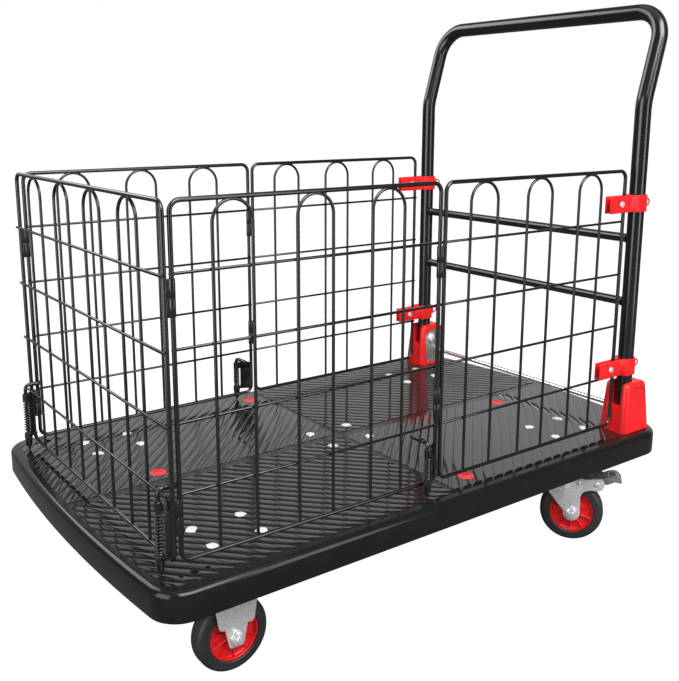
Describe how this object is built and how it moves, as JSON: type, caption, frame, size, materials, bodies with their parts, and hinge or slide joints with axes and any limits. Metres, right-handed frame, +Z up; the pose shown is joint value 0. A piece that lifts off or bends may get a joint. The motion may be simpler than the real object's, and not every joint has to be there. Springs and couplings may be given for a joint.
{
  "type": "folding platform cart",
  "caption": "Folding garden platform cart with a push handle, a folding wire cage and four castors, two of them braked.",
  "frame": {"origin": "on the floor, below the middle of the platform", "axes": "+X to the front, the end away from the handle; +Y to the left side; +Z up"},
  "size_m": [1, 0.606, 0.9179],
  "materials": {
    "black_plastic": "glossy, ribbed top",
    "black_paint": "glossy black powder coat",
    "red_plastic": "satin to glossy",
    "rubber": "matt",
    "zinc": "bright zinc",
    "chrome": "polished",
    "grey_steel": "satin"
  },
  "bodies": {
    "frame": {"deck": "black_plastic", "center_plate": "zinc", "cap_front": "red_plastic", "cap_rear": "red_plastic", "cap_left": "red_plastic", "cap_right": "red_plastic", "rigid_fork_front_left": "zinc", "rigid_fork_front_right": "zinc", "axle_front_left": "zinc", "axle_front_right": "zinc", "swivel_plate_rear_left": "zinc", "swivel_plate_rear_right": "zinc", "bracket_left": "red_plastic", "bracket_right": "red_plastic", "bracket_plate_left": "grey_steel", "bracket_plate_right": "grey_steel", "pivot_pin_left": "chrome", "pivot_pin_right": "chrome", "handle_tube": "black_paint", "rung_upper": "black_paint", "rung_lower": "black_paint", "clamp_upper_left": "red_plastic", "clamp_upper_right": "red_plastic", "clamp_lower_left": "red_plastic", "clamp_lower_right": "red_plastic"},
    "front_wheel_left": {"wheel_core_front_left": "red_plastic", "tyre_front_left": "rubber"},
    "swivel_left": {"swivel_fork_rear_left": "zinc", "axle_rear_left": "zinc"},
    "rear_wheel_left": {"wheel_core_rear_left": "red_plastic", "tyre_rear_left": "rubber"},
    "brake_pedal_left": {"brake_pedal_rear_left": "grey_steel"},
    "rear_panel_left": {"rear_panel_left": "black_paint"},
    "side_panel_left": {"side_panel_left": "black_paint", "latch_spring_middle_left": "black_paint"},
    "middle_plunger_left": {"latch_plunger_middle_left": "black_paint"},
    "front_plunger_left": {"latch_plunger_front_left": "black_paint"},
    "pull_pin_upper_left": {"pull_pin_upper_left": "zinc"},
    "pull_pin_lower_left": {"pull_pin_lower_left": "zinc"},
    "front_wheel_right": {"wheel_core_front_right": "red_plastic", "tyre_front_right": "rubber"},
    "swivel_right": {"swivel_fork_rear_right": "zinc", "axle_rear_right": "zinc"},
    "rear_wheel_right": {"wheel_core_rear_right": "red_plastic", "tyre_rear_right": "rubber"},
    "brake_pedal_right": {"brake_pedal_rear_right": "grey_steel"},
    "rear_panel_right": {"rear_panel_right": "black_paint"},
    "side_panel_right": {"side_panel_right": "black_paint", "latch_spring_middle_right": "black_paint"},
    "middle_plunger_right": {"latch_plunger_middle_right": "black_paint"},
    "front_plunger_right": {"latch_plunger_front_right": "black_paint"},
    "pull_pin_upper_right": {"pull_pin_upper_right": "zinc"},
    "pull_pin_lower_right": {"pull_pin_lower_right": "zinc"},
    "front_panel": {"front_panel": "black_paint", "latch_spring_front_left": "black_paint", "latch_spring_front_right": "black_paint"},
    "release_bar": {"release_bar": "chrome"}
  },
  "joints": [
    {"name": "front_wheel_spin_left", "type": "hinge", "parent": "frame", "child": "front_wheel_left", "pos_m": [0.341, 0.192, 0.054], "axis": [0, 1, 0], "continuous": true},
    {"name": "swivel_turn_left", "type": "hinge", "parent": "frame", "child": "swivel_left", "pos_m": [-0.318, 0.192, 0.12], "axis": [0, 0, 1], "continuous": true},
    {"name": "rear_wheel_spin_left", "type": "hinge", "parent": "swivel_left", "child": "rear_wheel_left", "pos_m": [-0.33854, 0.21783, 0.054], "axis": [-0.7826, -0.6225, 0], "continuous": true},
    {"name": "brake_press_left", "type": "hinge", "parent": "swivel_left", "child": "brake_pedal_left", "pos_m": [-0.36344, 0.24913, 0.112], "axis": [-0.7826, -0.6225, 0], "range_deg": [0, 12]},
    {"name": "cage_fold_left", "type": "hinge", "parent": "frame", "child": "rear_panel_left", "pos_m": [-0.3745, 0.258, 0.433], "axis": [0, 0, -1], "range_deg": [0, 36]},
    {"name": "side_fold_left", "type": "hinge", "parent": "rear_panel_left", "child": "side_panel_left", "pos_m": [0.03225, 0.258, 0.433], "axis": [0, 0, 1], "range_deg": [0, 72]},
    {"name": "middle_latch_lift_left", "type": "slide", "parent": "side_panel_left", "child": "middle_plunger_left", "axis": [0, 0, 1], "range_m": [0, 0.01], "stiffness_N_per_m": 400, "springref_m": -0.01, "deforming": ["latch_spring_middle_left"]},
    {"name": "front_latch_lift_left", "type": "slide", "parent": "front_panel", "child": "front_plunger_left", "axis": [0, 0, 1], "range_m": [0, 0.015], "stiffness_N_per_m": 400, "springref_m": -0.01, "deforming": ["latch_spring_front_left"]},
    {"name": "pin_pull_upper_left", "type": "slide", "parent": "frame", "child": "pull_pin_upper_left", "axis": [-1, 0, 0], "range_m": [0, 0.005], "stiffness_N_per_m": 500, "springref_m": -0.005},
    {"name": "pin_pull_lower_left", "type": "slide", "parent": "frame", "child": "pull_pin_lower_left", "axis": [-1, 0, 0], "range_m": [0, 0.005], "stiffness_N_per_m": 500, "springref_m": -0.005},
    {"name": "front_wheel_spin_right", "type": "hinge", "parent": "frame", "child": "front_wheel_right", "pos_m": [0.341, -0.192, 0.054], "axis": [0, 1, 0], "continuous": true},
    {"name": "swivel_turn_right", "type": "hinge", "parent": "frame", "child": "swivel_right", "pos_m": [-0.318, -0.192, 0.12], "axis": [0, 0, 1], "continuous": true},
    {"name": "rear_wheel_spin_right", "type": "hinge", "parent": "swivel_right", "child": "rear_wheel_right", "pos_m": [-0.33854, -0.16617, 0.054], "axis": [-0.7826, -0.6225, 0], "continuous": true},
    {"name": "brake_press_right", "type": "hinge", "parent": "swivel_right", "child": "brake_pedal_right", "pos_m": [-0.36344, -0.13487, 0.112], "axis": [-0.7826, -0.6225, 0], "range_deg": [0, 12]},
    {"name": "cage_fold_right", "type": "hinge", "parent": "frame", "child": "rear_panel_right", "pos_m": [-0.3745, -0.258, 0.433], "axis": [0, 0, 1], "range_deg": [0, 36]},
    {"name": "side_fold_right", "type": "hinge", "parent": "rear_panel_right", "child": "side_panel_right", "pos_m": [0.03225, -0.258, 0.433], "axis": [0, 0, -1], "range_deg": [0, 72]},
    {"name": "middle_latch_lift_right", "type": "slide", "parent": "side_panel_right", "child": "middle_plunger_right", "axis": [0, 0, 1], "range_m": [0, 0.01], "stiffness_N_per_m": 400, "springref_m": -0.01, "deforming": ["latch_spring_middle_right"]},
    {"name": "front_latch_lift_right", "type": "slide", "parent": "front_panel", "child": "front_plunger_right", "axis": [0, 0, 1], "range_m": [0, 0.015], "stiffness_N_per_m": 400, "springref_m": -0.01, "deforming": ["latch_spring_front_right"]},
    {"name": "pin_pull_upper_right", "type": "slide", "parent": "frame", "child": "pull_pin_upper_right", "axis": [-1, 0, 0], "range_m": [0, 0.005], "stiffness_N_per_m": 500, "springref_m": -0.005},
    {"name": "pin_pull_lower_right", "type": "slide", "parent": "frame", "child": "pull_pin_lower_right", "axis": [-1, 0, 0], "range_m": [0, 0.005], "stiffness_N_per_m": 500, "springref_m": -0.005},
    {"name": "front_fold", "type": "hinge", "parent": "side_panel_left", "child": "front_panel", "pos_m": [0.439, 0.258, 0.433], "axis": [0, 0, -1], "range_deg": [0, 36]},
    {"name": "release_press", "type": "slide", "parent": "frame", "child": "release_bar", "axis": [0, 0, -1], "range_m": [0, 0.008], "stiffness_N_per_m": 1500, "springref_m": -0.005}
  ],
  "couplings": [
    {"joint": "side_fold_left", "follows": "cage_fold_left", "ratio": 2},
    {"joint": "side_fold_right", "follows": "cage_fold_left", "ratio": 2},
    {"joint": "cage_fold_right", "follows": "cage_fold_left", "ratio": 1},
    {"joint": "front_fold", "follows": "cage_fold_left", "ratio": 1}
  ]
}
